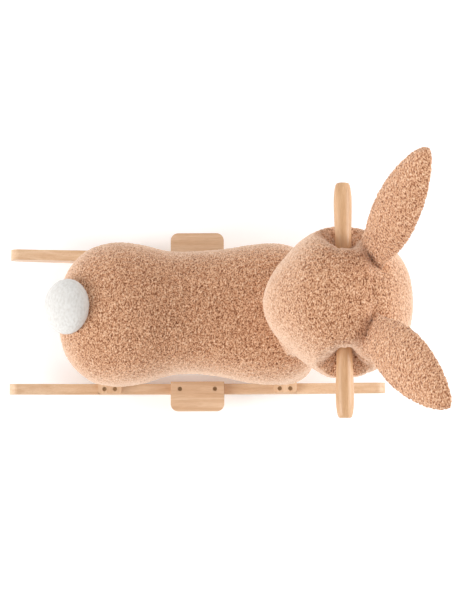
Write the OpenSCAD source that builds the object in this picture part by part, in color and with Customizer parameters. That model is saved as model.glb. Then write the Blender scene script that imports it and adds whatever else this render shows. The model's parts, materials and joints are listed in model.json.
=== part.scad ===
// Toddler's plush rocking rabbit: a teddy-covered animal on a beech rocker base.
// +X is the way the rabbit faces, +Y its left side, +Z up. The origin is on the floor, below the
// middle of the whole toy. The modules measure X from the middle of the rockers, and placed()
// moves that back a little, because the right ear reaches further forward than the rockers.

/* [Rockers] */
// Length of a rocker, end to end
rocker_len = 643; // [600:1:700]
// Thickness of the rocker board
rocker_t = 18; // [16:1:22]
// Height of the rocker board at its middle
rocker_depth = 44; // [40:1:50]
// Height of the rocker board at its ends
rocker_end_depth = 30; // [24:1:34]
// Radius of the curved running edge
rocker_radius = 950; // [850:10:1100]
// Length of the flat rest at the middle of the running edge
rest_len = 130; // [80:5:150]
// Distance between the middles of the two rockers
rocker_track = 231; // [225:1:240]

/* [Slats and footrests] */
// Distance of each cross slat from the middle of the rockers
slat_x = 150; // [145:1:155]
// Width of a cross slat
slat_w = 40; // [36:1:44]
// Thickness of a cross slat
slat_t = 15; // [12:1:18]
// Length of a footrest along the rocker
footrest_len = 92; // [80:1:100]
// Width of a footrest
footrest_w = 51; // [46:1:56]
// Thickness of a footrest
footrest_t = 14; // [12:1:16]

/* [Inner frame] */
// Side of a square leg post
post_side = 34; // [30:1:36]
// Distance of each leg post from the middle plane
post_y = 62; // [60:1:64]
// Underside height of the seat board
seat_z = 235; // [230:1:238]
// Thickness of the seat board
seat_t = 12; // [10:1:15]
// Thickness of the foam pad on the seat board
pad_t = 20; // [15:1:22]

/* [Handlebar] */
// Length of the handlebar
bar_len = 336; // [320:1:350]
// Radius of the bar where it crosses the head
bar_r = 11.5; // [10.5:0.1:12.5]
// Largest radius of a grip
grip_r = 13; // [12:0.1:14]
// Place of the bar along X
bar_x = 219; // [210:1:226]
// Height of the bar
bar_z = 457; // [450:1:462]

/* [Plush] */
// Thickness of the teddy cover with its pile
cover_t = 8; // [6:1:10]
// Half width of the head
head_r = 110; // [106:1:112]
// Length of an ear along its curve, from its seam to its tip
ear_len = 195; // [180:1:205]
// Largest half width of an ear
ear_half_w = 41; // [36:1:43]
// Heading of the left and right ear from the way the rabbit faces
ear_yaw = [63, -52];
// Steepness of the left and right ear at its seam
ear_root_pitch = [65, 60];
// Steepness of the left and right ear at its tip
ear_tip_pitch = [40, 39];
// Roll of the left and right ear about its own length
ear_roll = [-39, 37];
// Radius of the pompom tail
tail_r = 43; // [38:1:44]

/* [Hidden] */
$fn = 48;

beech = [0.89, 0.74, 0.58];
plywood = [0.85, 0.72, 0.52];
steel = [0.62, 0.60, 0.57];
teddy = [0.79, 0.58, 0.44];
wadding = [0.94, 0.93, 0.90];
lining = [0.93, 0.84, 0.76];
white_pile = [0.95, 0.94, 0.92];
thread_brown = [0.32, 0.20, 0.15];

ear_reach = 18;   // how far the right ear's tip is ahead of the rockers
play = 0.1;       // radial room of a screw in its hole
gap = 0.3;        // room between a soft piece and what it lies against
front = 1;
rear = -1;
left = 1;
right = -1;

module placed() translate([-ear_reach / 2, 0, 0]) children();

// ---- Rocker base ----
rest_sag = rocker_radius - sqrt(pow(rocker_radius, 2) - pow(rest_len / 2, 2));
run_z = rocker_radius - rest_sag;                    // height of the running edge's centre
end_r = rocker_end_depth / 2;
end_x = rocker_len / 2 - end_r;
function run_height(x) = run_z - sqrt(pow(rocker_radius, 2) - x * x);
end_z = run_height(end_x) + end_r;
top_rise = end_z + end_r - rocker_depth;
top_radius = (end_x * end_x + top_rise * top_rise) / (2 * top_rise);
function top_height(x) = rocker_depth + top_radius - sqrt(pow(top_radius, 2) - x * x);
slat_z = top_height(slat_x - slat_w / 2);            // level seat milled in the curved top edge
footrest_z = rocker_depth;
post_z = slat_z + slat_t;
slat_len = rocker_track + rocker_t - 3;
arc_steps = 24;

// One half of the rocker's outline: out along the top edge, round the end, back to the rest.
half_outline = concat(
    [for (i = [0 : arc_steps]) let (x = end_x * i / arc_steps) [x, top_height(x)]],
    [for (a = [75 : -15 : -75]) [end_x + end_r * cos(a), end_z + end_r * sin(a)]],
    [for (i = [arc_steps : -1 : 0])
        let (x = rest_len / 2 + (end_x - rest_len / 2) * i / arc_steps)
        [x, max(0, run_height(x))]]
);
other_half = [for (i = [len(half_outline) - 1 : -1 : 1]) [-half_outline[i][0], half_outline[i][1]]];

module rocker_profile() {
    difference() {
        polygon(concat(half_outline, other_half));
        for (x = [-slat_x, slat_x])
            translate([x - slat_w / 2, slat_z])
                square([slat_w, rocker_depth]);
        translate([-footrest_len / 2, footrest_z])
            square([footrest_len, rocker_depth]);
    }
}

module rocker(side) {
    color(beech)
        difference() {
            translate([0, side * rocker_track / 2 + rocker_t / 2, 0])
                rotate([90, 0, 0])
                    linear_extrude(rocker_t) rocker_profile();
            for (end = [front, rear]) slat_screw_holes(end);
            footrest_screw_holes();
        }
}

module cross_slat(end) {
    color(beech)
        difference() {
            translate([end * slat_x, 0, slat_z])
                linear_extrude(slat_t)
                    rounded_plate(slat_w, slat_len, 5);
            slat_screw_holes(end);
            leg_bolt_holes();
        }
}

// A plate about the origin with round corners, built from discs and bars.
module rounded_plate(x_len, y_len, r) {
    square([x_len - 2 * r, y_len], center = true);
    square([x_len, y_len - 2 * r], center = true);
    for (x = [-1, 1], y = [-1, 1])
        translate([x * (x_len / 2 - r), y * (y_len / 2 - r)]) circle(r);
}

footrest_corner = 13;
footrest_in = rocker_track / 2 - 12.5;     // inner edge of a footrest from the middle plane

module footrest(side) {
    color(beech)
        difference() {
            translate([0, side * (footrest_in + footrest_w / 2), footrest_z])
                linear_extrude(footrest_t)
                    union() {
                        rounded_plate(footrest_len, footrest_w, footrest_corner);
                        translate([0, -side * footrest_w / 4])
                            square([footrest_len, footrest_w / 2], center = true);
                    }
            footrest_screw_holes();
        }
}

// ---- Screws and bolts: every one is drawn head up, with the top of its head at the origin ----
wood_screw_r = 2;
wood_head_r = 3.6;
wood_head_h = 3;
socket_r = 1.7;

module wood_screw(length) {
    color(steel)
        difference() {
            union() {
                translate([0, 0, -wood_head_h]) cylinder(r1 = wood_screw_r, r2 = wood_head_r, h = wood_head_h);
                translate([0, 0, -length]) cylinder(r = wood_screw_r, h = length - wood_head_h + 0.5);
            }
            translate([0, 0, -1.6]) cylinder(r = socket_r, h = 3, $fn = 6);
        }
}

module wood_screw_hole(length) {
    translate([0, 0, -wood_head_h])
        cylinder(r1 = wood_screw_r + play, r2 = wood_head_r + play, h = wood_head_h);
    translate([0, 0, -0.01]) cylinder(r = wood_head_r + play, h = 1);
    translate([0, 0, -length - 0.5]) cylinder(r = wood_screw_r + play, h = length);
}

slat_screw_step = 18;
slat_screw_len = 38;
footrest_screw_step = 60;
footrest_screw_len = 34;
head_sink = 0.6;             // countersunk heads sit a little under the wood

module at_slat_screws(end)
    for (side = [left, right], step = [-0.5, 0.5])
        translate([end * slat_x + step * slat_screw_step, side * rocker_track / 2, post_z - head_sink])
            children();

module at_footrest_screws()
    for (side = [left, right], step = [-0.5, 0.5])
        translate([step * footrest_screw_step, side * rocker_track / 2, footrest_z + footrest_t - head_sink])
            children();

module slat_screws(end) at_slat_screws(end) wood_screw(slat_screw_len);
module slat_screw_holes(end) at_slat_screws(end) wood_screw_hole(slat_screw_len);
module footrest_screws() at_footrest_screws() wood_screw(footrest_screw_len);
module footrest_screw_holes() at_footrest_screws() wood_screw_hole(footrest_screw_len);

bolt_r = 3;
bolt_head_r = 5;
bolt_head_h = 4;
bolt_len = 60;
washer_r = 8;
washer_t = 1.2;

// Hexagon bolts come up through the slats into the leg posts.
module at_posts()
    for (end = [front, rear], side = [left, right])
        translate([end * slat_x, side * post_y, 0]) children();

module leg_bolts()
    color(steel)
        at_posts() {
            translate([0, 0, slat_z - washer_t - bolt_head_h]) cylinder(r = bolt_head_r, h = bolt_head_h, $fn = 6);
            translate([0, 0, slat_z - washer_t - 1]) cylinder(r = bolt_r, h = bolt_len);
        }

module leg_bolt_washers()
    color(steel)
        at_posts()
            translate([0, 0, slat_z - washer_t])
                difference() {
                    cylinder(r = washer_r, h = washer_t);
                    translate([0, 0, -1]) cylinder(r = bolt_r + play, h = washer_t + 2);
                }

module leg_bolt_holes()
    at_posts()
        translate([0, 0, slat_z - 1]) cylinder(r = bolt_r + play, h = bolt_len);

// ---- Inner frame ----
seat_top = seat_z + seat_t;
seat_half_x = 172;
seat_half_y = 80;
pad_half_x = 165;
pad_half_y = 60;              // the pad is narrower than the board, inside the round of the back
seat_screw_len = 36;
apron_h = 40;
apron_t = 15;

module leg_post(end, side)
    color(beech)
        difference() {
            translate([end * slat_x - post_side / 2, side * post_y - post_side / 2, post_z])
                cube([post_side, post_side, seat_z - post_z]);
            leg_bolt_holes();
            seat_screw_holes();
        }

module at_seat_screws()
    at_posts()
        for (step = [-1, 1])
            translate([0, step * post_side / 4, seat_top]) children();

module seat_board_screws() at_seat_screws() wood_screw(seat_screw_len);
module seat_screw_holes() at_seat_screws() wood_screw_hole(seat_screw_len);

module seat_board()
    color(plywood)
        difference() {
            translate([0, 0, seat_z])
                linear_extrude(seat_t)
                    rounded_plate(2 * seat_half_x, 2 * seat_half_y, 20);
            seat_screw_holes();
            neck_screw_holes();
        }

// A rail between the two posts of one end, under the seat board.
module apron(end)
    color(beech)
        translate([end * slat_x - apron_t / 2, -post_y + post_side / 2, seat_z - apron_h])
            cube([apron_t, 2 * post_y - post_side, apron_h - 1]);

neck_x = 150;                 // foot of the neck post on the seat board
neck_w = 42;
neck_t = 30;
neck_lean = atan2(bar_x - neck_x, bar_z - seat_top);
neck_reach = norm([bar_x - neck_x, bar_z - seat_top]);
neck_over = 24;               // wood beyond the handlebar
gusset_len = 60;
gusset_h = 70;
gusset_t = 15;

module neck_axis() translate([neck_x, 0, seat_top]) rotate([0, neck_lean, 0]) children();

module neck_blank(room = 0)
    intersection() {
        neck_axis()
            translate([-neck_w / 2 - room, -neck_t / 2 - room, -30])
                cube([neck_w + 2 * room, neck_t + 2 * room, 30 + neck_reach + neck_over + room]);
        translate([0, -100, seat_top])
            cube([400, 200, 400]);
    }

module neck_post()
    color(beech)
        difference() {
            neck_blank();
            translate([bar_x, 0, bar_z]) rotate([90, 0, 0]) cylinder(r = bar_r + play, h = 100, center = true);
            neck_screw_holes();
            lock_screw_hole();
        }

module at_neck_screws()
    for (step = [-1, 1])
        translate([neck_x + step * 6, -step * 8, seat_z]) rotate([180, 0, 0]) children();

module neck_post_screws() at_neck_screws() wood_screw(55);
module neck_screw_holes() at_neck_screws() wood_screw_hole(55);

// A plywood web behind the neck post carries a child's pull on the bar.
module neck_gusset()
    color(plywood)
        difference() {
            translate([0, gusset_t / 2, 0])
                rotate([90, 0, 0])
                    linear_extrude(gusset_t)
                        polygon([
                            [neck_x - gusset_len, seat_top],
                            [neck_x + 20, seat_top],
                            [neck_x + 20, seat_top + gusset_h],
                            [neck_x - 10, seat_top + gusset_h]
                        ]);
            neck_blank();
            translate([neck_x, -50, seat_top - 1]) cube([100, 100, 200]);
        }

bar_half = bar_len / 2;
grip_start = 72;             // the bar starts to swell here, just inside the head's cover
grip_peak = 140;
tip_r = 8;

// Outline of half the bar: straight, then a slow swell, then a domed end.
function grip_radius(y) = let (t = (y - grip_start) / (grip_peak - grip_start))
    bar_r + (grip_r - bar_r) * (1 - cos(180 * t)) / 2;
grip_points = concat(
    [for (t = [0 : 0.125 : 1]) let (y = grip_start + (grip_peak - grip_start) * t) [grip_radius(y), y]],
    [for (a = [15 : 15 : 75]) [tip_r + (grip_r - tip_r) * cos(a), grip_peak + (bar_half - grip_peak) * sin(a)]],
    [[tip_r * 0.85, bar_half], [0, bar_half]]
);

module half_bar()
    rotate_extrude() polygon(concat([[0, 0], [bar_r, 0]], grip_points));

module handlebar()
    color(beech)
        difference() {
            translate([bar_x, 0, bar_z])
                for (way = [-90, 90]) rotate([way, 0, 0]) half_bar();
            lock_screw_hole();
        }

module bar_channel(room)
    translate([bar_x, 0, bar_z])
        rotate([90, 0, 0]) cylinder(r = bar_r + room, h = 2 * head_r + 20, center = true);

lock_len = 32;
module at_lock_screw() neck_axis() translate([0, 0, neck_reach + neck_over]) children();
module handlebar_lock_screw() at_lock_screw() wood_screw(lock_len);
module lock_screw_hole() at_lock_screw() wood_screw_hole(lock_len);

// ---- Soft pieces ----
soft_sides = 28;
slice_t = 0.02;

// Rounded section, fuller than an ellipse.
function soft_section(a, b, power = 2.3) = [
    for (i = [0 : soft_sides - 1])
        let (c = cos(360 * i / soft_sides), s = sin(360 * i / soft_sides))
        [a * sign(c) * pow(abs(c), 2 / power), b * sign(s) * pow(abs(s), 2 / power)]
];

// One slice of a form that runs along X: [x, half width, lowest z, highest z].
module slice_x(s, inset)
    translate([s[0], 0, (s[2] + s[3]) / 2])
        rotate([90, 0, 90])
            linear_extrude(slice_t, center = true)
                polygon(soft_section(max(1, s[1] - inset), max(1, (s[3] - s[2]) / 2 - inset)));

module form_x(stations, inset = 0) {
    first = stations[0][0];
    last = stations[len(stations) - 1][0];
    middle = (first + last) / 2;
    shrink = 1 - 2 * inset / (last - first);
    for (i = [0 : len(stations) - 2])
        hull()
            for (s = [stations[i], stations[i + 1]])
                slice_x([middle + (s[0] - middle) * shrink, s[1], s[2], s[3]], inset);
}

// Haunches, waist and shoulders of the body.
body_stations = [
    [-220, 10, 190, 215],
    [-212, 58, 165, 243],
    [-192, 87, 148, 268],
    [-165, 108, 138, 287],
    [-125, 116, 132, 299],
    [-85, 112, 133, 299],
    [-45, 99, 138, 292],
    [0, 97, 140, 288],
    [45, 102, 138, 289],
    [90, 111, 134, 294],
    [135, 113, 134, 298],
    [168, 103, 140, 294],
    [190, 80, 152, 279],
    [203, 46, 175, 252],
    [208, 12, 205, 226]
];
module body_form(inset = 0) form_x(body_stations, inset);

// A ball with a slightly drawn-out back and a blunt face.
head_z = 413;
head_stations = [for (row = [
        [105, 0.07, -0.08, 0.02],
        [112, 0.27, -0.36, 0.28],
        [134, 0.61, -0.68, 0.60],
        [160, 0.84, -0.87, 0.84],
        [190, 0.97, -0.97, 0.96],
        [218, 1.00, -1.00, 1.00],
        [250, 0.96, -0.98, 0.95],
        [280, 0.84, -0.91, 0.80],
        [303, 0.63, -0.76, 0.56],
        [317, 0.39, -0.56, 0.32],
        [324, 0.10, -0.20, 0.04]
    ])
    [row[0], row[1] * head_r, head_z + row[2] * head_r, head_z + row[3] * head_r]];
module head_form(inset = 0) form_x(head_stations, inset);

// One slice of a form that runs up Z: [z, x, y, half length, half width].
module slice_z(s, inset)
    translate([s[1], s[2], s[0]])
        linear_extrude(slice_t, center = true)
            polygon(soft_section(s[3] - inset, s[4] - inset));

module form_z(stations, inset = 0)
    for (i = [0 : len(stations) - 2])
        hull() {
            slice_z(stations[i], inset);
            slice_z(stations[i + 1], inset);
        }

leg_foot_z = post_z + gap;
leg_stations = [
    [leg_foot_z, 150, 68, 41, 34],
    [leg_foot_z + 8, 150, 68, 45, 37],
    [95, 148, 67, 47, 39],
    [120, 144, 66, 49, 42],
    [150, 139, 65, 51, 46],
    [185, 133, 64, 53, 48]
];
module leg_form(end, side, inset = 0)
    mirror([end == rear ? 1 : 0, 0, 0])
        mirror([0, side == right ? 1 : 0, 0])
            form_z(leg_stations, inset);

neck_stations = [
    [262, 158, 0, 52, 70],
    [285, 161, 0, 51, 68],
    [310, 169, 0, 49, 66],
    [335, 179, 0, 47, 64],
    [358, 189, 0, 45, 62]
];
module neck_form(inset = 0) form_z(neck_stations, inset);

// Everything hard that the stuffing lies around.
module frame_room() {
    at_posts()
        translate([-post_side / 2 - gap, -post_side / 2 - gap, 40])
            cube([post_side + 2 * gap, post_side + 2 * gap, seat_z - 40]);
    translate([0, 0, seat_z - gap])
        linear_extrude(seat_t + 2 * gap)
            rounded_plate(2 * (seat_half_x + gap), 2 * (seat_half_y + gap), 20);
    translate([0, 0, seat_z])
        linear_extrude(seat_t + pad_t + gap)
            rounded_plate(2 * (pad_half_x + gap), 2 * (pad_half_y + gap), 20);
    for (end = [front, rear])
        translate([end * slat_x - apron_t / 2 - gap, -post_y, seat_z - apron_h - gap])
            cube([apron_t + 2 * gap, 2 * post_y, apron_h]);
    neck_room();
    at_neck_screws() wood_screw_hole(50);
}

module neck_room() {
    neck_blank(gap);
    translate([neck_x - gusset_len - gap, -gusset_t / 2 - gap, seat_top])
        cube([gusset_len + 3 * gap, gusset_t + 2 * gap, gusset_h + gap]);
}

module seat_foam_pad()
    color(wadding)
        difference() {
            translate([0, 0, seat_top])
                linear_extrude(pad_t)
                    rounded_plate(2 * pad_half_x, 2 * pad_half_y, 20);
            neck_room();
        }

module body_stuffing()
    color(wadding)
        difference() {
            body_form(cover_t);
            frame_room();
        }

// The underside of the body between the legs is closed with plain cloth.
panel_half_x = 84;
panel_half_y = 62;
module panel_room(room)
    translate([-panel_half_x - room, -panel_half_y - room, 100])
        cube([2 * (panel_half_x + room), 2 * (panel_half_y + room), 80]);

module body_cover()
    color(teddy)
        difference() {
            body_form();
            body_form(cover_t - gap);
            panel_room(gap);
            at_posts()
                translate([-post_side / 2 - gap, -post_side / 2 - gap, 40])
                    cube([post_side + 2 * gap, post_side + 2 * gap, 150]);
            neck_room();
        }

module belly_panel()
    color(lining)
        intersection() {
            difference() {
                body_form(1);
                body_form(cover_t - gap);
            }
            panel_room(0);
        }

module leg_stuffing(end, side)
    color(wadding)
        difference() {
            leg_form(end, side, cover_t);
            body_form(-gap);
            translate([end * slat_x - post_side / 2 - gap, side * post_y - post_side / 2 - gap, 40])
                cube([post_side + 2 * gap, post_side + 2 * gap, 200]);
        }

module leg_cover(end, side)
    color(teddy)
        difference() {
            leg_form(end, side);
            translate([0, 0, -0.01]) leg_form(end, side, cover_t - gap);
            translate([0, 0, -20]) leg_form(end, side, cover_t - gap);
            body_form(-gap);
        }

module neck_stuffing()
    color(wadding)
        difference() {
            neck_form(cover_t);
            body_form(-gap);
            head_form(-gap);
            neck_room();
        }

module neck_cover()
    color(teddy)
        difference() {
            neck_form();
            neck_form(cover_t - gap);
            body_form(-gap);
            head_form(-gap);
        }

module head_stuffing()
    color(wadding)
        difference() {
            head_form(cover_t);
            neck_blank(gap);
            bar_channel(1);
            at_lock_screw() cylinder(r = wood_head_r + 1, h = 3);
            face_room();
        }

module head_cover()
    color(teddy)
        difference() {
            head_form();
            head_form(cover_t - gap);
            neck_blank(gap);
            bar_channel(1.5);
            face_room();
        }

// ---- Ears: each is drawn from its seam outwards along +X and curving up, then set on the head ----
ear_azimuth = [61, -55];      // where the seam lies on the head, seen from above
ear_height = [50, 56];        // and how far up the head's side
ear_lift = 9.5;               // the seam's roll stands this far off the head, so that the ear can flop
ear_root_half_w = 29;
ear_root_half_t = 6.5;
ear_half_t = 10;
ear_steps = 12;
ear_split = -0.3;             // the lining is the part of the thickness below this

// Half width of the ear: full at two fifths of its length, and round at the tip.
function ear_width(t) = t < 0.4
    ? ear_root_half_w + (ear_half_w - ear_root_half_w) * sin(90 * t / 0.4)
    : ear_half_w * pow(cos(90 * (t - 0.4) / 0.6), 0.58);
function ear_thickness(t) = t < 0.35
    ? ear_root_half_t + (ear_half_t - ear_root_half_t) * sin(90 * t / 0.35)
    : ear_half_t * pow(cos(90 * (t - 0.35) / 0.65), 0.5);

// The ear's curve is an arc: its slope falls evenly from the seam's to the tip's.
function ear_slope(i, t) = ear_root_pitch[i] + (ear_tip_pitch[i] - ear_root_pitch[i]) * t;
function ear_arc_r(i) = ear_len / ((ear_root_pitch[i] - ear_tip_pitch[i]) * PI / 180);
function ear_point(i, t) = ear_arc_r(i) * [
    sin(ear_root_pitch[i]) - sin(ear_slope(i, t)), 0, cos(ear_slope(i, t)) - cos(ear_root_pitch[i])];

function head_way(azimuth, height) = [cos(height) * cos(azimuth), cos(height) * sin(azimuth), sin(height)];
function ear_root(i) = [bar_x - 1, 0, head_z] + (head_r + ear_lift) * head_way(ear_azimuth[i], ear_height[i]);

module on_ear(i)
    translate(ear_root(i)) rotate([0, 0, ear_yaw[i]]) children();

// A thin slice across the ear, of which one band of the thickness is kept.
module ear_slice(i, t, inset, low, high) {
    half_w = max(2, ear_width(t) - inset);
    half_t = max(1.5, ear_thickness(t));
    translate(ear_point(i, t))
        rotate([0, -ear_slope(i, t), 0])
            rotate([ear_roll[i], 0, 0])
                rotate([90, 0, 90])
                    linear_extrude(slice_t, center = true)
                        intersection() {
                            polygon(soft_section(half_w, half_t, 2));
                            translate([-100, low * half_t]) square([200, (high - low) * half_t]);
                        }
}

module ear_band(i, t_from, inset, low, high)
    for (k = [0 : ear_steps - 1])
        hull()
            for (step = [k, k + 1])
                ear_slice(i, t_from + (0.985 - t_from) * step / ear_steps, inset, low, high);

module ear(i)
    color(teddy)
        on_ear(i)
            union() {
                ear_band(i, 0, 0, ear_split, 1.1);
                rotate([0, -ear_root_pitch[i], 0])
                    rotate([ear_roll[i] + 90, 0, 0])
                        cylinder(r = ear_root_half_t - 0.5, h = 2 * ear_root_half_w - 8, center = true);
            }

module ear_lining(i)
    color(lining)
        on_ear(i) ear_band(i, 0.06, 3, -1.1, ear_split - 0.04);

// ---- Tail and face ----
tail_pos = [-199, 8, 274];
tail_tilt = -44;              // its flat back lies on the slope of the rump
tail_half_t = 27;
tail_back = 8.5;              // the flat back is this far behind the middle

// Half outline of the pompom: an ellipse cut off flat at the back.
tail_cut = asin(tail_back / tail_half_t);
tail_points = concat(
    [[0, -tail_back]],
    [for (i = [0 : 16]) let (a = -tail_cut + (90 + tail_cut) * i / 16)
        [i == 16 ? 0 : tail_r * cos(a), tail_half_t * sin(a)]]
);

module tail_pompom()
    color(white_pile)
        translate(tail_pos) rotate([0, tail_tilt, 0])
            rotate_extrude() polygon(tail_points);

eye_r = 8;
module at_eye(side)
    translate([301, side * 60, 386]) children();
module eye(side)
    color(thread_brown)
        at_eye(side)
            sphere(eye_r);

module at_nose() translate([316.5, 0, 376]) children();
module nose_form(room = 0)
    hull()
        for (p = [[0, 8, 4], [0, -8, 4], [0, 0, -5]])
            translate(p) sphere(4 + room, $fn = 14);
module nose() color(thread_brown) at_nose() nose_form();

module face_room() {
    for (side = [left, right]) at_eye(side) sphere(eye_r + 2 * gap, $fn = 20);
    at_nose() nose_form(gap);
}

placed() rocker(left);  // rocker_left
placed() rocker(right);  // rocker_right
placed() cross_slat(front);  // cross_slat_front
placed() cross_slat(rear);  // cross_slat_rear
placed() footrest(left);  // footrest_left
placed() footrest(right);  // footrest_right
placed() slat_screws(front);  // slat_screws_front
placed() slat_screws(rear);  // slat_screws_rear
placed() footrest_screws();
placed() leg_post(front, left);  // leg_post_front_left
placed() leg_post(front, right);  // leg_post_front_right
placed() leg_post(rear, left);  // leg_post_rear_left
placed() leg_post(rear, right);  // leg_post_rear_right
placed() leg_bolts();
placed() leg_bolt_washers();
placed() seat_board();
placed() seat_board_screws();
placed() apron(front);  // apron_front
placed() apron(rear);  // apron_rear
placed() neck_post();
placed() neck_gusset();
placed() neck_post_screws();
placed() handlebar();
placed() handlebar_lock_screw();
placed() seat_foam_pad();
placed() body_stuffing();
placed() body_cover();
placed() belly_panel();
placed() leg_stuffing(front, left);  // leg_stuffing_front_left
placed() leg_stuffing(front, right);  // leg_stuffing_front_right
placed() leg_stuffing(rear, left);  // leg_stuffing_rear_left
placed() leg_stuffing(rear, right);  // leg_stuffing_rear_right
placed() leg_cover(front, left);  // leg_cover_front_left
placed() leg_cover(front, right);  // leg_cover_front_right
placed() leg_cover(rear, left);  // leg_cover_rear_left
placed() leg_cover(rear, right);  // leg_cover_rear_right
placed() neck_stuffing();
placed() neck_cover();
placed() head_stuffing();
placed() head_cover();
placed() ear(0);  // ear_left
placed() ear(1);  // ear_right
placed() ear_lining(0);  // ear_lining_left
placed() ear_lining(1);  // ear_lining_right
placed() tail_pompom();
placed() eye(left);  // eye_left
placed() eye(right);  // eye_right
placed() nose();
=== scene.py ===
"""Looks of the plush rabbit rocker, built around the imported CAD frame.

Soft pieces are sculpted in code: lofted forms are joined, remeshed into an even skin, shaped
(leg creases, dimples round the handlebar, ear folds) and then given a real curly pile.
Wooden pieces are the CAD solids with softened edges. Everything is in metres.
"""

import json
import math

import bmesh
import bpy
import numpy as np
from mathutils import Matrix, Vector, noise


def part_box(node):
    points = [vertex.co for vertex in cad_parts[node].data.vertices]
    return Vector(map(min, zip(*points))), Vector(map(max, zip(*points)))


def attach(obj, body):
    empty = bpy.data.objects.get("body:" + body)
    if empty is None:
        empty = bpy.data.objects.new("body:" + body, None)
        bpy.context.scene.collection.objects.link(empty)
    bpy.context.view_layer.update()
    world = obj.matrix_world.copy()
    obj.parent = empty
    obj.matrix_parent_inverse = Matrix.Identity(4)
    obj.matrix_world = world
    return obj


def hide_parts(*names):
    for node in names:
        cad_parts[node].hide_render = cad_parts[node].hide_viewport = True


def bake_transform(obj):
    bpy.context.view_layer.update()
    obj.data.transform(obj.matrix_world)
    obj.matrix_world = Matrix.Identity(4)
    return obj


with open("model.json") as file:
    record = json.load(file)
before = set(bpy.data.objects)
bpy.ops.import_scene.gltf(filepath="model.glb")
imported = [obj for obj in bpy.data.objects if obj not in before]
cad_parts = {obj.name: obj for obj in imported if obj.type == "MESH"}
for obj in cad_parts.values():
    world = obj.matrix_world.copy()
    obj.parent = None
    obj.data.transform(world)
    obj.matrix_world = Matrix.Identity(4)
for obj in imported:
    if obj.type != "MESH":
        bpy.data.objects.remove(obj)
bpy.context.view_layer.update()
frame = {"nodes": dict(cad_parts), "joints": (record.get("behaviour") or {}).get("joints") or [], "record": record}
scene = bpy.context.scene
mm = 0.001

# ---------------------------------------------------------------- camera, light and floor
CAMERA_LENS = 78.4  # millimetres
CAMERA_PLACE = (0.0503, -0.1753, 2.338)
CAMERA_TURN = (5.134, 0.157, -0.206)  # degrees
TOY_MIDDLE = Vector((0, 0, 0.3))
# name, place, size and power in watts
SOFTBOXES = [("key", (-2.0, -0.7, 1.5), 1.6, 34), ("fill", (2.0, 0.2, 1.3), 1.6, 27)]
# how high in the sky each tone of the white sweep lies, 0 to 1, and the tone
SWEEP = [(0.20, (1.0, 1.0, 1.0, 1)), (0.90, (0.42, 0.42, 0.43, 1))]
SWEEP_STRENGTH = 1.2
FLOOR_REACH = 4.0
FLOOR_GLOW = 0.12


def add_camera():
    data = bpy.data.cameras.new("camera")
    data.lens = CAMERA_LENS
    camera = bpy.data.objects.new("camera", data)
    camera.location = CAMERA_PLACE
    camera.rotation_euler = [math.radians(angle) for angle in CAMERA_TURN]
    scene.collection.objects.link(camera)
    scene.camera = camera


def add_softbox(name, place, size, power):
    """An area light at place that looks at the middle of the toy."""
    data = bpy.data.lights.new(name, "AREA")
    data.shape, data.size, data.energy = "DISK", size, power
    light = bpy.data.objects.new(name, data)
    light.location = place
    aim = TOY_MIDDLE - light.location
    light.rotation_euler = aim.to_track_quat("-Z", "Y").to_euler()
    scene.collection.objects.link(light)


def add_studio():
    """A white sweep all round the toy, brighter than the ceiling above it, two softboxes and a floor."""
    world = bpy.data.worlds.new("studio")
    world.use_nodes = True
    tree = world.node_tree
    background = tree.nodes["Background"]
    way = tree.nodes.new("ShaderNodeTexCoord")
    split = tree.nodes.new("ShaderNodeSeparateXYZ")
    sweep = tree.nodes.new("ShaderNodeValToRGB")
    tree.links.new(way.outputs["Generated"], split.inputs[0])
    tree.links.new(split.outputs["Z"], sweep.inputs["Fac"])
    tree.links.new(sweep.outputs["Color"], background.inputs["Color"])
    for element, (height, tone) in zip(sweep.color_ramp.elements, SWEEP):
        element.position, element.color = height, tone
    background.inputs["Strength"].default_value = SWEEP_STRENGTH
    scene.world = world
    scene.view_settings.view_transform = "Standard"
    for softbox in SOFTBOXES:
        add_softbox(*softbox)

    mesh = bpy.data.meshes.new("floor")
    corners = [(x * FLOOR_REACH, y * FLOOR_REACH, 0) for x, y in ((-1, -1), (1, -1), (1, 1), (-1, 1))]
    mesh.from_pydata(corners, [], [(0, 1, 2, 3)])
    floor = bpy.data.objects.new("floor", mesh)
    scene.collection.objects.link(floor)
    paint = Material("floor_paint")
    paint.set("Base Color", (0.97, 0.97, 0.975, 1))
    paint.set("Roughness", 0.9)
    paint.set("Emission Color", (1.0, 1.0, 1.0, 1))
    paint.set("Emission Strength", FLOOR_GLOW)
    floor.data.materials.append(paint.material)


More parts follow.
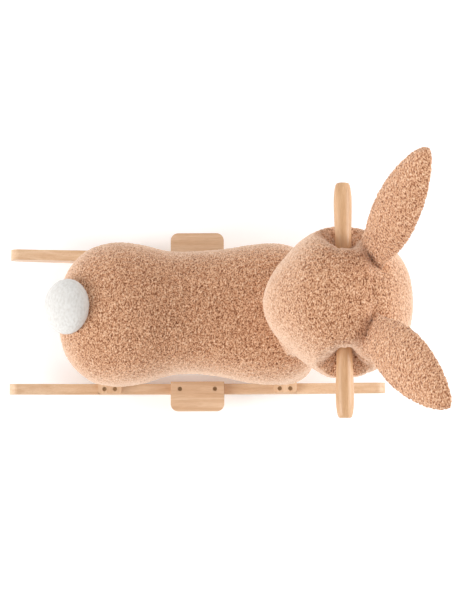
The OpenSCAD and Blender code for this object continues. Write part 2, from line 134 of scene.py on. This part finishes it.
# ---------------------------------------------------------------- material helpers
class Material:
    """A node material on one Principled shader, with short ways to add and join nodes."""

    def __init__(self, name):
        self.material = bpy.data.materials.new(name)
        self.material.use_nodes = True
        self.tree = self.material.node_tree
        self.shader = self.tree.nodes["Principled BSDF"]
        self.coords = None

    def set(self, socket, value):
        self._feed(self.shader.inputs[socket], value)

    def _feed(self, socket, value):
        """Links another node's output to the socket, or sets the socket to a plain value."""
        if isinstance(value, bpy.types.NodeSocket):
            self.tree.links.new(value, socket)
        else:
            socket.default_value = value

    def node(self, kind, output=0, settings=None, **inputs):
        """Adds a node and gives its output. An input is named by its label, or by _ and its number."""
        node = self.tree.nodes.new("ShaderNode" + kind)
        for key, value in (settings or {}).items():
            setattr(node, key, value)
        for key, value in inputs.items():
            socket = node.inputs[int(key[1:])] if key[0] == "_" else node.inputs[key.replace("_", " ")]
            self._feed(socket, value)
        return node.outputs[output]

    def place(self, scale=(1, 1, 1)):
        """Coordinates that stay with the piece, in metres, stretched."""
        if self.coords is None:
            self.coords = self.node("TexCoord", output="Object")
        return self.node("Mapping", Vector=self.coords, Scale=scale)

    def noise(self, vector, scale, detail=2.0, rough=0.5, distort=0.0):
        return self.node("TexNoise", output="Fac", Vector=vector, Scale=scale, Detail=detail,
                         Roughness=rough, Distortion=distort)

    def ramp(self, factor, stops):
        node = self.tree.nodes.new("ShaderNodeValToRGB")
        ramp = node.color_ramp
        while len(ramp.elements) < len(stops):
            ramp.elements.new(0.5)
        for element, (place, colour) in zip(ramp.elements, stops):
            element.position, element.color = place, (*colour, 1)
        self._feed(node.inputs["Fac"], factor)
        return node.outputs["Color"]

    def blend(self, factor, a, b, mode="MIX"):
        return self.node("MixRGB", settings={"blend_type": mode}, Fac=factor, Color1=a, Color2=b)

    def math(self, op, a, b):
        return self.node("Math", settings={"operation": op}, _0=a, _1=b)

    def mix_heights(self, a, b, share):
        """Height a and height b as one height, with b's share of it."""
        return self.math("ADD", self.math("MULTIPLY", a, 1 - share), self.math("MULTIPLY", b, share))

    def bump(self, height, depth, strength, under=None):
        extra = {"Normal": under} if under is not None else {}
        return self.node("Bump", Height=height, Distance=depth, Strength=strength, **extra)

    def soft_edge(self, radius):
        return self.node("Bevel", settings={"samples": 4}, Radius=radius)


def rgb(*channels):
    """A linear colour from 0-255 display channels."""
    return tuple(((c / 255 + 0.055) / 1.055) ** 2.4 if c > 10 else c / 3295 for c in channels)


# ---------------------------------------------------------------- materials
TUFTS_PER_METRE = 600.0
TUFT_STRETCH = (1.0, 0.62, 1.0)  # tufts are longer across the toy
TUFT_CONTRAST = 1.1
TUFT_SHARE = 0.88  # the rest of the height is the pile's own
# how strongly the painted sheen pales the pile's colour on the steep flanks
FLANK_SHEEN_SHARE = 0.85
WOOD_EDGE = 1.6 * mm
STEEL_EDGE = 0.3 * mm
BEECH = (232, 200, 166), (212, 172, 134)
BAR_BEECH = (222, 180, 138), (192, 146, 102)
BIRCH = (236, 210, 168), (214, 180, 132)


def teddy_material():
    """Short curly pile: pale curls, with painted shade darkening the crevices between them.

    On the steep flanks the colour is a painted sheen: paler and with less contrast than on the back, as where
    light grazes the pile.
    """
    m = Material("teddy_pile")
    pile = m.node("Attribute", output="Fac", settings={"attribute_name": "pile"})
    flank_flat_and_sheen = m.node("Attribute", output="Fac", settings={"attribute_name": "flank_flat_and_sheen"})
    curl = m.noise(m.place(TUFT_STRETCH), TUFTS_PER_METRE, detail=0.0)
    tuft = m.math("ADD", m.math("MULTIPLY", m.math("SUBTRACT", curl, 0.5), TUFT_CONTRAST), 0.5)
    height = m.mix_heights(pile, tuft, TUFT_SHARE)
    # painted shade: the lower the pile, the darker and redder the colour, standing in for shade in the crevices
    # between curls; the curls' tone also varies at random
    curl_tone_and_crevice_shade = m.ramp(height, [
        (0.24, rgb(120, 68, 38)), (0.38, rgb(168, 110, 73)), (0.52, rgb(204, 152, 115)),
        (0.66, rgb(224, 176, 140)), (0.82, rgb(240, 206, 174))])
    # painted sheen: a paler, lower-contrast copy of the pile's colour, blended in on the steep flanks
    smooth = m.ramp(height, [
        (0.24, rgb(196, 151, 121)), (0.52, rgb(220, 180, 151)), (0.82, rgb(234, 203, 178))])
    colour = m.blend(m.math("MULTIPLY", flank_flat_and_sheen, FLANK_SHEEN_SHARE), curl_tone_and_crevice_shade, smooth)
    patches = m.noise(m.place(), 14.0, detail=3.0)
    tone = m.ramp(patches, [(0.3, (0.94, 0.92, 0.90)), (0.7, (1.0, 1.0, 1.0))])
    m.set("Base Color", m.blend(1.0, colour, tone, "MULTIPLY"))
    m.set("Roughness", 0.95)
    m.set("Sheen Weight", 0.6)
    m.set("Sheen Roughness", 0.6)
    m.set("Sheen Tint", (1.0, 0.86, 0.72, 1))
    m.set("Specular IOR Level", 0.1)
    m.set("Normal", m.bump(tuft, 0.8 * mm, 0.6))
    return m.material


def lining_material():
    """Smooth short plush of the ears' inner faces and the underside panel."""
    m = Material("lining_plush")
    nap = m.noise(m.place(), 900.0, detail=2.0)
    drift = m.noise(m.place(), 30.0, detail=3.0)
    colour = m.ramp(m.mix_heights(nap, drift, 0.5),
                    [(0.30, rgb(214, 176, 154)), (0.70, rgb(244, 218, 200))])
    m.set("Base Color", colour)
    m.set("Roughness", 0.85)
    m.set("Sheen Weight", 0.5)
    m.set("Sheen Roughness", 0.35)
    m.set("Sheen Tint", (1.0, 0.93, 0.88, 1))
    m.set("Specular IOR Level", 0.2)
    m.set("Normal", m.bump(nap, 0.25 * mm, 0.6))
    return m.material


def pompom_material():
    """Dense white pile of the tail."""
    m = Material("white_pile")
    pile = m.node("Attribute", output="Fac", settings={"attribute_name": "pile"})
    strand = m.noise(m.place(), 650.0, detail=3.0, rough=0.65)
    # painted shade: lower pile is painted greyer, standing in for shade in its crevices; the strand noise adds
    # random tone
    m.set("Base Color", m.ramp(m.mix_heights(pile, strand, 0.5), [
        (0.15, rgb(203, 199, 193)), (0.45, rgb(212, 209, 204)), (0.8, rgb(219, 217, 213))]))
    m.set("Roughness", 0.9)
    m.set("Sheen Weight", 0.25)
    m.set("Sheen Roughness", 0.4)
    m.set("Specular IOR Level", 0.15)
    m.set("Normal", m.bump(strand, 0.4 * mm, 0.4))
    return m.material


def wood_material(name, grain, pale, dark, flecks=True):
    """Lacquered wood: long soft grain and short darker flecks along one axis of the piece."""
    m = Material(name)

    def stretched(along, across):
        return m.place([along if axis == grain else across for axis in "XYZ"])

    rings = m.noise(stretched(1.0, 14.0), 9.0, detail=4.0, rough=0.55, distort=0.4)
    middle = [(a + b) / 2 for a, b in zip(pale, dark)]
    colour = m.ramp(rings, [(0.32, rgb(*dark)), (0.50, rgb(*middle)), (0.68, rgb(*pale))])
    fine = m.noise(stretched(12.0, 330.0), 6.0, detail=3.0)
    pores = m.ramp(fine, [(0.35, (0.72, 0.66, 0.60)), (0.6, (1, 1, 1))])
    colour = m.blend(0.35, colour, pores, "MULTIPLY")
    if flecks:
        cells = m.noise(stretched(60.0, 900.0), 1.0, detail=1.0)
        spots = m.ramp(cells, [(0.62, (1, 1, 1)), (0.72, (0.80, 0.72, 0.64))])
        colour = m.blend(0.5, colour, spots, "MULTIPLY")
    m.set("Base Color", colour)
    shine = m.ramp(fine, [(0.3, (0.42, 0.42, 0.42)), (0.7, (0.34, 0.34, 0.34))])
    m.set("Roughness", shine)
    m.set("Coat Weight", 0.15)
    m.set("Coat Roughness", 0.25)
    m.set("Normal", m.bump(fine, 0.12 * mm, 0.35, under=m.soft_edge(WOOD_EDGE)))
    return m.material


def steel_material():
    """Dull zinc-plated steel, darker and rougher in random patches of wear."""
    m = Material("zinc_steel")
    wear = m.noise(m.place(), 900.0, detail=4.0, rough=0.6)
    m.set("Base Color", m.ramp(wear, [(0.35, rgb(140, 106, 72)), (0.65, rgb(190, 156, 118))]))
    m.set("Metallic", 0.9)
    m.set("Roughness", m.ramp(wear, [(0.3, (0.5, 0.5, 0.5)), (0.7, (0.36, 0.36, 0.36))]))
    m.set("Normal", m.soft_edge(STEEL_EDGE))
    return m.material


def eye_material():
    """Polished dark plastic."""
    m = Material("eye_gloss")
    depth = m.noise(m.place(), 140.0, detail=2.0)
    m.set("Base Color", m.ramp(depth, [(0.3, rgb(20, 12, 9)), (0.7, rgb(44, 27, 20))]))
    m.set("Roughness", 0.08)
    m.set("Coat Weight", 1.0)
    m.set("Coat Roughness", 0.03)
    return m.material


def thread_material():
    """Satin embroidery thread laid in close parallel stitches."""
    m = Material("stitch_thread")
    lay = m.node("TexWave", output="Fac", settings={"bands_direction": "Y"},
                 Vector=m.place(), Scale=420.0, Distortion=1.2, Detail=1.0)
    m.set("Base Color", m.ramp(lay, [(0.1, rgb(84, 48, 38)), (0.8, rgb(140, 88, 72))]))
    m.set("Roughness", 0.5)
    m.set("Sheen Weight", 0.3)
    m.set("Normal", m.bump(lay, 0.3 * mm, 0.8))
    return m.material


def wadding_material(name, low, high, scale):
    """Hidden stuffing and foam."""
    m = Material(name)
    clump = m.noise(m.place(), scale, detail=5.0, rough=0.6)
    m.set("Base Color", m.ramp(clump, [(0.3, rgb(*low)), (0.7, rgb(*high))]))
    m.set("Roughness", 0.95)
    m.set("Normal", m.bump(clump, 1.5 * mm, 0.7))
    return m.material


# ---------------------------------------------------------------- mesh helpers
def even_curve(rows, steps):
    """Points of a smooth curve through rows, steps to each gap (Catmull-Rom)."""
    rows = np.array(rows, float)
    padded = np.vstack([2 * rows[0] - rows[1], rows, 2 * rows[-1] - rows[-2]])
    out = []
    for i in range(len(rows) - 1):
        a, b, c, d = padded[i:i + 4]
        for t in np.linspace(0, 1, steps, endpoint=False):
            out.append(0.5 * (2 * b + (c - a) * t + (2 * a - 5 * b + 4 * c - d) * t * t
                              + (3 * b - 3 * c + d - a) * t ** 3))
    return np.array(out + [rows[-1]])


def rounded_section(power, sides=56):
    """Points (u, v) of a section within -1 to 1. It is a circle at power 2, and fuller above that."""
    angle = np.linspace(0, 2 * math.pi, sides, endpoint=False)
    c, s = np.cos(angle), np.sin(angle)
    return np.stack([np.sign(c) * abs(c) ** (2 / power), np.sign(s) * abs(s) ** (2 / power)], 1)


def loft(rings):
    """A closed mesh through rings that all have the same number of points."""
    rings = np.array(rings, float)
    count, sides = rings.shape[:2]
    points = np.vstack([rings.reshape(-1, 3), rings[0].mean(0), rings[-1].mean(0)])
    faces = []
    for r in range(count - 1):
        for s in range(sides):
            n = (s + 1) % sides
            faces.append((r * sides + s, r * sides + n, (r + 1) * sides + n, (r + 1) * sides + s))
    first, last, top = count * sides, count * sides + 1, (count - 1) * sides
    for s in range(sides):
        n = (s + 1) % sides
        faces.append((s, first, n))
        faces.append((top + n, last, top + s))
    mesh = bpy.data.meshes.new("loft")
    mesh.from_pydata([tuple(p) for p in points], [], faces)
    return mesh


def new_object(name, mesh):
    obj = bpy.data.objects.new(name, mesh)
    scene.collection.objects.link(obj)
    return obj


def applied(obj):
    """Replaces the object's mesh by what its modifiers make of it."""
    mesh = bpy.data.meshes.new_from_object(obj.evaluated_get(bpy.context.evaluated_depsgraph_get()))
    old, obj.data = obj.data, mesh
    obj.modifiers.clear()
    bpy.data.meshes.remove(old)
    return obj


def one_skin(name, meshes, voxel, passes):
    """Joins overlapping closed meshes into one evenly meshed skin, relaxed in some passes."""
    bm = bmesh.new()
    for mesh in meshes:
        bm.from_mesh(mesh)
    mesh = bpy.data.meshes.new(name)
    bmesh.ops.recalc_face_normals(bm, faces=bm.faces)
    bm.to_mesh(mesh)
    bm.free()
    obj = new_object(name, mesh)
    remesh = obj.modifiers.new("remesh", "REMESH")
    remesh.mode, remesh.voxel_size = "VOXEL", voxel
    relax = obj.modifiers.new("relax", "SMOOTH")
    relax.factor, relax.iterations = 0.5, passes
    return applied(obj)


def get_points(obj):
    co = np.empty(len(obj.data.vertices) * 3, np.float32)
    obj.data.vertices.foreach_get("co", co)
    return co.reshape(-1, 3).astype(float)


def set_points(obj, co):
    obj.data.vertices.foreach_set("co", co.astype(np.float32).ravel())
    obj.data.update()


def get_normals(obj):
    no = np.empty(len(obj.data.vertices) * 3, np.float32)
    obj.data.vertex_normals.foreach_get("vector", no)
    return no.reshape(-1, 3).astype(float)


def dress(obj, material):
    """Gives the piece this material and no other."""
    obj.data.materials.clear()
    obj.data.materials.append(material)


def falloff(distance, radius):
    """1 at distance 0, smoothly down to 0 at radius."""
    t = np.clip(1 - distance / radius, 0, 1)
    return t * t * (3 - 2 * t)


CURL_GRAIN = 3.0 * mm
CURL_MIDDLE = 0.55  # the height of pile that lies on the skin
FLANK_START, FLANK_SPAN = 0.84, 0.60  # the pile lies flatter, and the material paints it paler as a painted sheen, as the upward share of the normal falls
FLAT_LOSS = 0.4  # share of its length that the flattened pile on the flanks loses


def curls(points, seed):
    """Height of a curly pile at each point, 0 to 1, with tufts a little longer across the toy."""
    offset = Vector((seed * 7.3, seed * 3.1, seed * 5.7))
    height = np.empty(len(points))
    for i, p in enumerate(points):
        q = Vector((p[0], p[1] * 0.7, p[2])) / CURL_GRAIN + offset
        height[i] = CURL_MIDDLE + noise.noise(q) + 0.35 * noise.noise(q * 2.1)
    return np.clip(height, 0, 1)


def add_pile(obj, length, seed, flank_flat_and_sheen=1.0):
    """Raises the skin into a curly pile.

    The material reads the pile's height, and how far the pile on the flanks is flattened, from two attributes, and
    from them paints shade in the low pile and a pale sheen on the flanks.
    """
    co, no = get_points(obj), get_normals(obj)
    height = curls(co, seed)
    # the flank factor flattens the pile here and is stored for the material's painted sheen on the flanks
    flat = flank_flat_and_sheen * np.clip((FLANK_START - abs(no[:, 2])) / FLANK_SPAN, 0, 1)
    set_points(obj, co + no * ((height - CURL_MIDDLE) * (1 - FLAT_LOSS * flat) * length)[:, None])
    for name, values in (("pile", height), ("flank_flat_and_sheen", flat)):
        layer = obj.data.attributes.new(name, "FLOAT", "POINT")
        layer.data.foreach_set("value", values.astype(np.float32))
    obj.data.shade_smooth()


def left_and_right(obj):
    """Parts a skin along the middle plane, as its centre seam does, with no break in its shading."""
    normals = get_normals(obj)
    halves = []
    for name, side in (("left", 1), ("right", -1)):
        bm = bmesh.new()
        bm.from_mesh(obj.data)
        index = bm.verts.layers.int.new("index")
        for vert in bm.verts:
            vert[index] = vert.index
        away = [face for face in bm.faces if face.calc_center_median().y * side < 0]
        bmesh.ops.delete(bm, geom=away, context="FACES")
        kept = [vert[index] for vert in bm.verts]
        bm.verts.layers.int.remove(index)
        mesh = bpy.data.meshes.new(f"{obj.name}_{name}")
        bm.to_mesh(mesh)
        bm.free()
        mesh.normals_split_custom_set_from_vertices([tuple(normals[i]) for i in kept])
        halves.append(new_object(mesh.name, mesh))
    bpy.data.objects.remove(obj)
    return halves


def finish_skin(obj, material, nodes):
    """Dresses a padded skin that stays with the frame and stands in for these CAD nodes."""
    dress(obj, material)
    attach(obj, "root")
    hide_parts(*nodes)


# ---------------------------------------------------------------- plush body
BODY_PILE, HEAD_PILE = 2.6 * mm, 2.3 * mm
BODY_VOXEL, HEAD_VOXEL = 1.75 * mm, 1.4 * mm
BODY_RELAX, HEAD_RELAX = 24, 8  # passes
FORM_STEPS = 6  # rings from one row of a form to the next


def form_along(box, rows):
    """A loft that lies in a CAD box.

    Each row: share of the length, share of the half width, and lowest and highest share of the height.
    """
    low, high = (np.array(corner) for corner in box)
    middle, half = (low + high) / 2, (high - low) / 2
    section = rounded_section(power=2.3)
    rings = []
    for x, w, bottom, top in even_curve(rows, FORM_STEPS):
        z0, z1 = low[2] + bottom * 2 * half[2], low[2] + top * 2 * half[2]
        ring = np.zeros((len(section), 3))
        ring[:, 0] = low[0] + x * 2 * half[0]
        ring[:, 1] = middle[1] + section[:, 0] * max(w, 0.01) * half[1]
        ring[:, 2] = (z0 + z1) / 2 + section[:, 1] * max(z1 - z0, 0.002) / 2
        rings.append(ring)
    return loft(rings)


def form_up(box, rows, lean):
    """A loft that stands in a CAD box, its top moved along X by half of lean and its foot by half against it.

    Each row: share of the height, and shares of the half sizes along X and Y.
    """
    low, high = (np.array(corner) for corner in box)
    middle, half = (low + high) / 2, (high - low) / 2
    section = rounded_section(power=2.2)
    rings = []
    for z, wx, wy in even_curve(rows, FORM_STEPS):
        ring = np.zeros((len(section), 3))
        ring[:, 0] = middle[0] + lean * (z - 0.5) + section[:, 0] * wx * half[0]
        ring[:, 1] = middle[1] + section[:, 1] * wy * half[1]
        ring[:, 2] = low[2] + z * 2 * half[2]
        rings.append(ring)
    return loft(rings)


BODY_ROWS = [
    (0.000, 0.05, 0.36, 0.50), (0.020, 0.47, 0.20, 0.67), (0.065, 0.745, 0.10, 0.82),
    (0.130, 0.92, 0.04, 0.93), (0.220, 0.995, 0.00, 1.00), (0.320, 0.955, 0.01, 0.995),
    (0.420, 0.845, 0.04, 0.955), (0.515, 0.825, 0.05, 0.93), (0.620, 0.87, 0.04, 0.94),
    (0.725, 0.955, 0.01, 0.97), (0.830, 0.97, 0.01, 0.99), (0.910, 0.87, 0.05, 0.96),
    (0.960, 0.67, 0.13, 0.86), (0.990, 0.38, 0.26, 0.70), (1.000, 0.06, 0.42, 0.55)]
HEAD_ROWS = [
    (0.000, 0.03, 0.47, 0.51), (0.020, 0.20, 0.36, 0.61), (0.065, 0.385, 0.26, 0.71),
    (0.130, 0.56, 0.165, 0.80), (0.250, 0.81, 0.065, 0.915), (0.380, 0.955, 0.013, 0.98),
    (0.510, 1.00, 0.00, 1.00), (0.650, 0.965, 0.01, 0.975), (0.790, 0.835, 0.045, 0.90),
    (0.900, 0.63, 0.12, 0.78), (0.965, 0.40, 0.22, 0.66), (1.000, 0.06, 0.40, 0.48)]
LEG_ROWS = [
    (0.0, 0.68, 0.66), (0.02, 0.77, 0.74), (0.08, 0.81, 0.78), (0.25, 0.84, 0.82),
    (0.5, 0.89, 0.89), (0.75, 0.94, 0.96), (1.0, 0.97, 1.0), (1.3, 0.85, 0.8)]
NECK_ROWS = [(-0.6, 0.70, 1.02), (-0.2, 0.75, 1.08), (0.15, 0.76, 1.05), (0.6, 0.78, 1.0), (1.2, 0.8, 0.98)]
LEGS = ("front_left", "front_right", "rear_left", "rear_right")
LEG_SHIFT, LEG_LEAN = 6 * mm, 17 * mm  # outwards from the toy's middle, and inwards on the way up
NECK_LEAN = 34 * mm
WAIST_X, WAIST_REACH, WAIST_FULLER = -5 * mm, 95 * mm, 5 * mm
FLANK_Y = 40 * mm  # the toy's sides begin this far from its middle plane


def make_body(material):
    parts = [form_along(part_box("body_cover"), BODY_ROWS),
             form_up(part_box("neck_cover"), NECK_ROWS, NECK_LEAN)]
    for leg in LEGS:
        forward = 1 if leg.startswith("front") else -1
        low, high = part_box("leg_cover_" + leg)
        shift = Vector((forward * LEG_SHIFT, 0, 0))
        parts.append(form_up((low + shift, high + shift), LEG_ROWS, -forward * LEG_LEAN))
    body = one_skin("body_plush", parts, BODY_VOXEL, BODY_RELAX)
    # the waist is a little fuller on its left side
    co = get_points(body)
    co[:, 1] += (co[:, 1] > FLANK_Y) * falloff(abs(co[:, 0] - WAIST_X), WAIST_REACH) * WAIST_FULLER
    set_points(body, co)
    add_pile(body, BODY_PILE, 1)
    covers = ["body_cover", "neck_cover", "neck_stuffing"]
    covers += [piece + leg for leg in LEGS for piece in ("leg_cover_", "leg_stuffing_")]
    for half in left_and_right(body):
        finish_skin(half, material, covers)


def dent_along(co, no, start, end, radius, depth):
    """Presses a rounded groove along the line from start to end into the skin."""
    start, end = np.array(start), np.array(end)
    along = end - start
    share = np.clip((co - start) @ along / (along @ along), 0, 1)
    distance = np.linalg.norm(co - (start + share[:, None] * along), axis=1)
    return co - no * (falloff(distance, radius) * depth)[:, None]


HEAD_MIDDLE_Z = 413 * mm
REAR_START, REAR_SPAN, REAR_FLATTER = 20 * mm, 90 * mm, 0.07  # behind the handlebar, and share of the half width
DIMPLE_FLOOR, DIMPLE_REACH, DIMPLE_DEPTH = 14 * mm, 44 * mm, 33 * mm
DIMPLE_NARROW, DIMPLE_SHORT = 1.4, 2  # distances count for more along X, and below the handlebar
FOLD_DEPTH = 1.6 * mm
SEAM_BACK, SEAM_WIDTH, SEAM_DEPTH = 2 * mm, 5 * mm, 1.2 * mm
EAR_SINK, EAR_DENT_REACH, EAR_DENT_DEPTH = 9.5 * mm, 24 * mm, 5 * mm
FACE_FLOOR, FACE_DEPTH = 5 * mm, 4.5 * mm
FACE_REACH = {"eye_left": 17 * mm, "eye_right": 17 * mm, "nose": 22 * mm}


def make_head(material, ears):
    head = one_skin("head_plush", [form_along(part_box("head_cover"), HEAD_ROWS)], HEAD_VOXEL, HEAD_RELAX)
    bar_low, bar_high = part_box("handlebar")
    bar = (bar_low + bar_high) / 2
    co, no = get_points(head), get_normals(head)
    # the back of the head is a little flatter on its right side
    rear = np.clip((bar.x - REAR_START - co[:, 0]) / REAR_SPAN, 0, 1)
    co[:, 1] = np.where(co[:, 1] < 0, co[:, 1] * (1 - REAR_FLATTER * np.sin(math.pi * rear)), co[:, 1])
    # the cover is drawn in round the handlebar, further above it than below, and gathers in small folds
    rise = co[:, 2] - bar.z
    across = np.hypot(DIMPLE_NARROW * (co[:, 0] - bar.x), np.where(rise < 0, DIMPLE_SHORT * rise, rise))
    dimple = np.clip(1 - np.maximum(across - DIMPLE_FLOOR, 0) / DIMPLE_REACH, 0, 1) ** 1.2
    dimple *= abs(co[:, 1]) > FLANK_Y
    around = np.arctan2(rise, co[:, 0] - bar.x)
    folds = np.cos(9 * around + 2 * np.sin(3 * around)) * dimple * (1 - dimple) * 3
    co[:, 1] -= np.sign(co[:, 1]) * dimple * DIMPLE_DEPTH
    co += no * (folds * FOLD_DEPTH)[:, None]
    # a seam runs round the head from ear to ear, and the ears' roots sink into it
    seam_x = ears[0].root.x - SEAM_BACK
    co -= no * (falloff(abs(co[:, 0] - seam_x), SEAM_WIDTH) * SEAM_DEPTH)[:, None]
    head_middle = Vector((bar.x, 0, HEAD_MIDDLE_Z))
    for ear in ears:
        centre, _, width, _ = ear.frame_at(0)
        centre = centre - (centre - head_middle).normalized() * EAR_SINK
        reach = width * ROOT_HALF_WIDTH * 0.9
        co = dent_along(co, no, centre - reach, centre + reach, EAR_DENT_REACH, EAR_DENT_DEPTH)
    # the eyes and the nose are drawn into the plush
    for node, reach in FACE_REACH.items():
        low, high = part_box(node)
        away = np.linalg.norm(co - np.array((low + high) / 2), axis=1)
        co -= no * (falloff(np.maximum(away - FACE_FLOOR, 0), reach) * FACE_DEPTH)[:, None]
    set_points(head, co)
    add_pile(head, HEAD_PILE, 2)
    finish_skin(head, material, ["head_cover", "head_stuffing"])


# ---------------------------------------------------------------- ears
EAR_LENGTH = 197 * mm
HALF_WIDTH, ROOT_HALF_WIDTH, HALF_THICK = 41 * mm, 29 * mm, 9 * mm
WIDEST_AT = 0.4  # share of the length
LEAST_HALF_WIDTH = 1.5 * mm
THIN_EDGE = 14 * mm  # the leaf thins where it is narrower than this
EAR_CUP = 6 * mm
LINING_INSET = 5 * mm
EAR_PILE = 1.8 * mm
EAR_VOXEL, LINING_VOXEL = 1.2 * mm, 1.5 * mm
EAR_RELAX, LINING_RELAX = 5, 3  # passes


class EarShape:
    """The ear's curve from its seam to its tip, and its width and thickness along it."""

    def __init__(self, side, heading, root_slope, tip_slope, roll, nudge=(0, 0, 0)):
        joint = next(j for j in frame["joints"] if j["name"] == f"ear_{side}_flop")
        self.side = side
        self.root = Vector(joint["pos_m"]) + Vector(nudge)
        self.heading, self.roll = math.radians(heading), math.radians(roll)
        self.slopes = math.radians(root_slope), math.radians(tip_slope)

    def frame_at(self, t):
        """Centre, direction, width direction and back-facing normal at share t of the length."""
        a, b = self.slopes
        slope = a + (b - a) * t
        radius = EAR_LENGTH / (a - b)
        reach, rise = radius * (math.sin(a) - math.sin(slope)), radius * (math.cos(slope) - math.cos(a))
        c, s = math.cos(self.heading), math.sin(self.heading)
        centre = self.root + Vector((c * reach, s * reach, rise))
        way = Vector((c * math.cos(slope), s * math.cos(slope), math.sin(slope)))
        flat = Vector((-s, c, 0))
        up = way.cross(flat)
        width = flat * math.cos(self.roll) + up * math.sin(self.roll)
        return centre, way, width, way.cross(width)

    def rings(self, start, end, narrow, low, high, count=60, sides=72):
        """Rings of a leaf between two levels of the thickness, -1 (lining) to 1 (back)."""
        rings = []
        for t in np.linspace(start, end, count):
            centre, _, width, back = self.frame_at(t)
            half = max(LEAST_HALF_WIDTH, ear_half_width(t) - narrow)
            thick = HALF_THICK * (0.75 + 0.25 * min(1, max(0, t) / 0.3)) * min(1, half / THIN_EDGE) ** 0.5
            cup = EAR_CUP * min(1, half / HALF_WIDTH)
            ring = []
            for angle in np.linspace(0, 2 * math.pi, sides, endpoint=False):
                u, v = math.cos(angle), math.sin(angle)
                level = (low + high) / 2 + (high - low) / 2 * v
                ring.append(centre + width * (u * half) + back * (level * thick - cup * u * u))
            rings.append(ring)
        return rings


def ear_half_width(t):
    """Half the ear's width at share t of its length: full soon after the root, then a blunt leaf."""
    if t < WIDEST_AT:
        grown = math.sin(math.pi / 2 * max(t, 0) / WIDEST_AT)
        return ROOT_HALF_WIDTH + (HALF_WIDTH - ROOT_HALF_WIDTH) * grown
    return HALF_WIDTH * max(0.02, math.cos(math.pi / 2 * (t - WIDEST_AT) / (1 - WIDEST_AT))) ** 0.58


def make_ear(shape, teddy, lining):
    leaf = loft(shape.rings(-0.10, 0.995, 0, -0.45, 1.0))
    ear = one_skin(f"ear_{shape.side}_plush", [leaf], EAR_VOXEL, EAR_RELAX)
    add_pile(ear, EAR_PILE, 3 if shape.side == "left" else 4, flank_flat_and_sheen=0.0)
    leaf = loft(shape.rings(0.05, 0.955, LINING_INSET, -0.78, -0.2))
    inner = one_skin(f"ear_{shape.side}_inner", [leaf], LINING_VOXEL, LINING_RELAX)
    inner.data.shade_smooth()
    centre, way, _, _ = shape.frame_at(0)
    for piece, material, slot, node in ((ear, teddy, "teddy", f"ear_{shape.side}"),
                                        (inner, lining, "lining", f"ear_lining_{shape.side}")):
        dress(piece, material)
        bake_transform(piece)
        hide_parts(node)


# ---------------------------------------------------------------- tail
TAIL_RADIUS, TAIL_HALF, TAIL_SINK = 43.5 * mm, 28 * mm, 1 * mm
TAIL_TILT = -44  # degrees
TAIL_PILE, TAIL_VOXEL = 0.6 * mm, 1.2 * mm
TAIL_RELAX = 6  # passes


def make_tail(material):
    low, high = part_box("tail_pompom")
    middle = (low + high) / 2
    tilt = Matrix.Rotation(math.radians(TAIL_TILT), 3, "Y")
    rings = []
    for rise in np.radians(np.linspace(-80, 88, 40)):
        r, z = TAIL_RADIUS * math.cos(rise), TAIL_HALF * math.sin(rise) - TAIL_SINK
        around = np.linspace(0, 2 * math.pi, 72, endpoint=False)
        rings.append([middle + tilt @ Vector((r * math.cos(a), r * math.sin(a), z)) for a in around])
    tail = one_skin("tail_pompom_pile", [loft(rings)], TAIL_VOXEL, TAIL_RELAX)
    add_pile(tail, TAIL_PILE, 5, flank_flat_and_sheen=0.0)
    finish_skin(tail, material, ["tail_pompom"])


# ---------------------------------------------------------------- wooden and metal nodes
def dress_nodes():
    """Gives the CAD nodes that stay in view, or inside the plush, their materials by slot."""
    beech = {axis: wood_material(f"beech_along_{axis.lower()}", axis, *BEECH) for axis in "XYZ"}
    bar_wood = wood_material("beech_bar", "Y", *BAR_BEECH)
    looks = {
        "plywood": wood_material("birch_plywood", "X", *BIRCH, flecks=False),
        "steel": steel_material(),
        "stuffing": wadding_material("polyester_wadding", (222, 222, 220), (250, 250, 248), 90.0),
        "foam": wadding_material("seat_foam", (226, 214, 176), (246, 238, 206), 700.0),
        "eye": eye_material(),
        "nose": thread_material(),
    }
    slots = {part["node"]: part["material_slot"] for part in frame["record"]["subparts"]}
    for name, node in frame["nodes"].items():
        slot = slots[name]
        if name == "handlebar":
            look = bar_wood
        elif slot != "beech":
            look = looks.get(slot)
        elif name.startswith(("cross_slat", "apron")):
            look = beech["Y"]
        elif name.startswith(("leg_post", "neck_post")):
            look = beech["Z"]
        else:
            look = beech["X"]
        if look is not None:
            dress(node, look)
            if slot == "steel" or name == "handlebar":
                node.data.shade_smooth()


add_camera()
add_studio()
dress_nodes()
teddy, lining = teddy_material(), lining_material()
make_body(teddy)
ears = (
    EarShape("left", heading=62.5, root_slope=64, tip_slope=39, roll=-39, nudge=(2.5 * mm, 2 * mm, -2 * mm)),
    EarShape("right", heading=-52, root_slope=60, tip_slope=39, roll=37))
make_head(teddy, ears)
for ear in ears:
    make_ear(ear, teddy, lining)
make_tail(pompom_material())
dress(frame["nodes"]["belly_panel"], lining)
